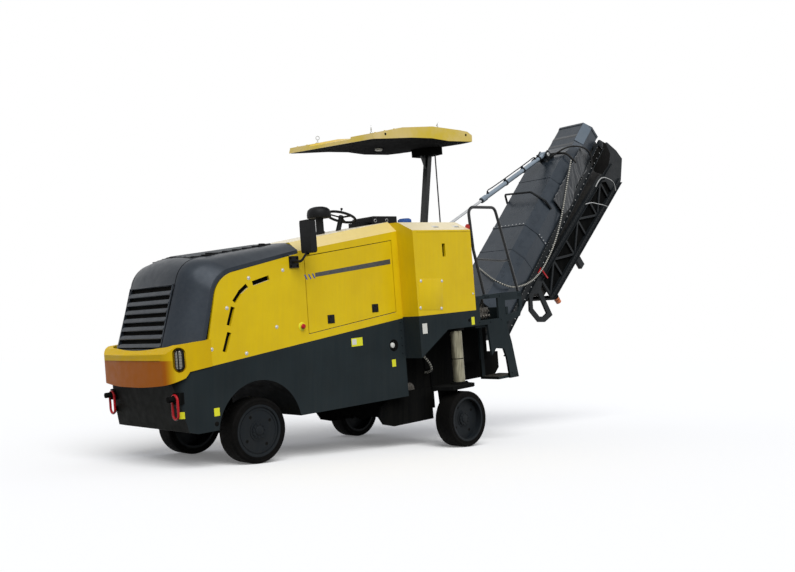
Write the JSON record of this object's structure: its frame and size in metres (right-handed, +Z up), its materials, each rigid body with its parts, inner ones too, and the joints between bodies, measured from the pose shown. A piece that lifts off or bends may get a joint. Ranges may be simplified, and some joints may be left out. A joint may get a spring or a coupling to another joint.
{
  "type": "cold planer milling machine",
  "caption": "Small wheeled cold planer with a milling drum under its body, lifting rear legs, a standing platform with canopy and a folding rear belt conveyor.",
  "frame": {"origin": "on the floor under the middle of the machine's overall box", "axes": "+X forward along the machine, +Y to its left, +Z up"},
  "size_m": [8.5179, 2.2, 4.8013],
  "materials": {
    "yellow_paint": "satin",
    "slate_paint": "satin",
    "charcoal_moulding": "textured",
    "black_paint": "satin",
    "tyre": "matte",
    "steel": "dusty",
    "chrome": "dusty",
    "rubber": "matte",
    "red_paint": "gloss",
    "blue_plastic": "smooth",
    "amber_lens": "smooth",
    "lamp": "smooth",
    "hose_armour": "dusty",
    "engine": "matte"
  },
  "bodies": {
    "machine": {"lower_body": "slate_paint", "rear_body": "slate_paint", "drum_box": "steel", "chute": "slate_paint", "hood": "charcoal_moulding", "bumper": "yellow_paint", "headlamps": "lamp", "deck": "yellow_paint", "side_panels": "yellow_paint", "engine_block": "engine", "platform": "slate_paint", "rear_boxes": "yellow_paint", "water_cap": "blue_plastic", "rear_frame": "slate_paint", "ladders": "slate_paint", "handrails": "slate_paint", "canopy": "yellow_paint", "canopy_post": "slate_paint", "console": "charcoal_moulding", "air_intake": "charcoal_moulding", "mirror": "charcoal_moulding", "tow_pins": "slate_paint", "tow_links": "red_paint", "front_axle": "slate_paint"},
    "steering_wheel": {"steering_wheel": "slate_paint"},
    "drum": {"drum": "steel"},
    "turret": {"turret": "slate_paint"},
    "lower_conveyor": {"lower_conveyor": "slate_paint", "lower_belt": "rubber", "lower_cover": "black_paint", "cover_hoop": "slate_paint", "hose": "hose_armour", "cylinder_bracket": "slate_paint"},
    "upper_conveyor": {"upper_conveyor": "slate_paint", "upper_belt": "rubber", "beacon": "amber_lens"},
    "lift_barrel": {"lift_barrel": "steel"},
    "lift_rod": {"lift_rod": "chrome"},
    "door_left": {"door_left": "yellow_paint"},
    "side_plate_left": {"side_plate_left": "steel"},
    "knuckle_left": {"knuckle_left": "slate_paint"},
    "leg_left": {"leg_column_left": "chrome", "leg_arm_left": "slate_paint"},
    "front_wheel_left": {"front_tyre_left": "tyre", "front_rim_left": "slate_paint"},
    "rear_wheel_left": {"rear_tyre_left": "tyre", "rear_rim_left": "slate_paint"},
    "door_right": {"door_right": "yellow_paint"},
    "side_plate_right": {"side_plate_right": "steel"},
    "knuckle_right": {"knuckle_right": "slate_paint"},
    "leg_right": {"leg_column_right": "chrome", "leg_arm_right": "slate_paint"},
    "front_wheel_right": {"front_tyre_right": "tyre", "front_rim_right": "slate_paint"},
    "rear_wheel_right": {"rear_tyre_right": "tyre", "rear_rim_right": "slate_paint"}
  },
  "joints": [
    {"name": "steer_left", "type": "hinge", "parent": "machine", "child": "knuckle_left", "pos_m": [3.18273, 0.405, 0.33], "axis": [0.1063, 0, 0.9943], "range_deg": [-25, 25]},
    {"name": "front_wheel_spin_left", "type": "hinge", "parent": "knuckle_left", "child": "front_wheel_left", "pos_m": [3.18273, 0.61, 0.33], "axis": [0, 1, 0], "continuous": true},
    {"name": "leg_lift_left", "type": "slide", "parent": "machine", "child": "leg_left", "axis": [0.1063, 0, 0.9943], "range_m": [0, 0.29]},
    {"name": "rear_wheel_spin_left", "type": "hinge", "parent": "leg_left", "child": "rear_wheel_left", "pos_m": [0.44273, 0.98, 0.33], "axis": [0, 1, 0], "continuous": true},
    {"name": "door_left_open", "type": "hinge", "parent": "machine", "child": "door_left", "pos_m": [2.64929, 0.739, 2.13289], "axis": [0.9757, 0, -0.2192], "range_deg": [0, 80]},
    {"name": "side_plate_lift_left", "type": "slide", "parent": "machine", "child": "side_plate_left", "axis": [0.1063, 0, 0.9943], "range_m": [0, 0.15]},
    {"name": "steer_right", "type": "hinge", "parent": "machine", "child": "knuckle_right", "pos_m": [3.18273, -0.405, 0.33], "axis": [0.1063, 0, 0.9943], "range_deg": [-25, 25]},
    {"name": "front_wheel_spin_right", "type": "hinge", "parent": "knuckle_right", "child": "front_wheel_right", "pos_m": [3.18273, -0.61, 0.33], "axis": [0, 1, 0], "continuous": true},
    {"name": "leg_lift_right", "type": "slide", "parent": "machine", "child": "leg_right", "axis": [0.1063, 0, 0.9943], "range_m": [0, 0.29]},
    {"name": "rear_wheel_spin_right", "type": "hinge", "parent": "leg_right", "child": "rear_wheel_right", "pos_m": [0.44273, -0.98, 0.33], "axis": [0, 1, 0], "continuous": true},
    {"name": "door_right_open", "type": "hinge", "parent": "machine", "child": "door_right", "pos_m": [2.64929, -0.739, 2.13289], "axis": [-0.9757, 0, 0.2192], "range_deg": [0, 80]},
    {"name": "side_plate_lift_right", "type": "slide", "parent": "machine", "child": "side_plate_right", "axis": [0.1063, 0, 0.9943], "range_m": [0, 0.15]},
    {"name": "drum_spin", "type": "hinge", "parent": "machine", "child": "drum", "pos_m": [0.87655, 0, 0.67703], "axis": [0, 1, 0], "continuous": true},
    {"name": "steering_wheel_turn", "type": "hinge", "parent": "machine", "child": "steering_wheel", "pos_m": [1.51217, 0, 2.76632], "axis": [-0.2571, 0, 0.9664], "range_deg": [-350, 350]},
    {"name": "conveyor_slew", "type": "hinge", "parent": "machine", "child": "turret", "pos_m": [-0.67302, 0, 1.51645], "axis": [0.1063, 0, 0.9943], "range_deg": [-25, 25]},
    {"name": "conveyor_luff", "type": "hinge", "parent": "turret", "child": "lower_conveyor", "pos_m": [-0.86726, 0, 1.48692], "axis": [0, 1, 0], "range_deg": [-32, 0]},
    {"name": "conveyor_unfold", "type": "hinge", "parent": "lower_conveyor", "child": "upper_conveyor", "pos_m": [-3.78283, 0, 4.41547], "axis": [0, 1, 0], "range_deg": [0, 184.5]},
    {"name": "lift_barrel_pivot", "type": "hinge", "parent": "lower_conveyor", "child": "lift_barrel", "pos_m": [-2.60574, 0, 4.19083], "axis": [0, 1, 0], "range_deg": [-0.5, 1.69]},
    {"name": "lift_rod_slide", "type": "slide", "parent": "lift_barrel", "child": "lift_rod", "axis": [0.8571, 0, -0.5152], "range_m": [-0.002, 0.7978]}
  ],
  "couplings": [
    {"joint": "lift_barrel_pivot", "follows": "conveyor_luff", "ratio": -0.037144},
    {"joint": "lift_rod_slide", "follows": "conveyor_luff", "m_per_rad": -1.4249},
    {"joint": "steer_right", "follows": "steer_left", "ratio": 1},
    {"joint": "steering_wheel_turn", "follows": "steer_left", "ratio": 14}
  ]
}
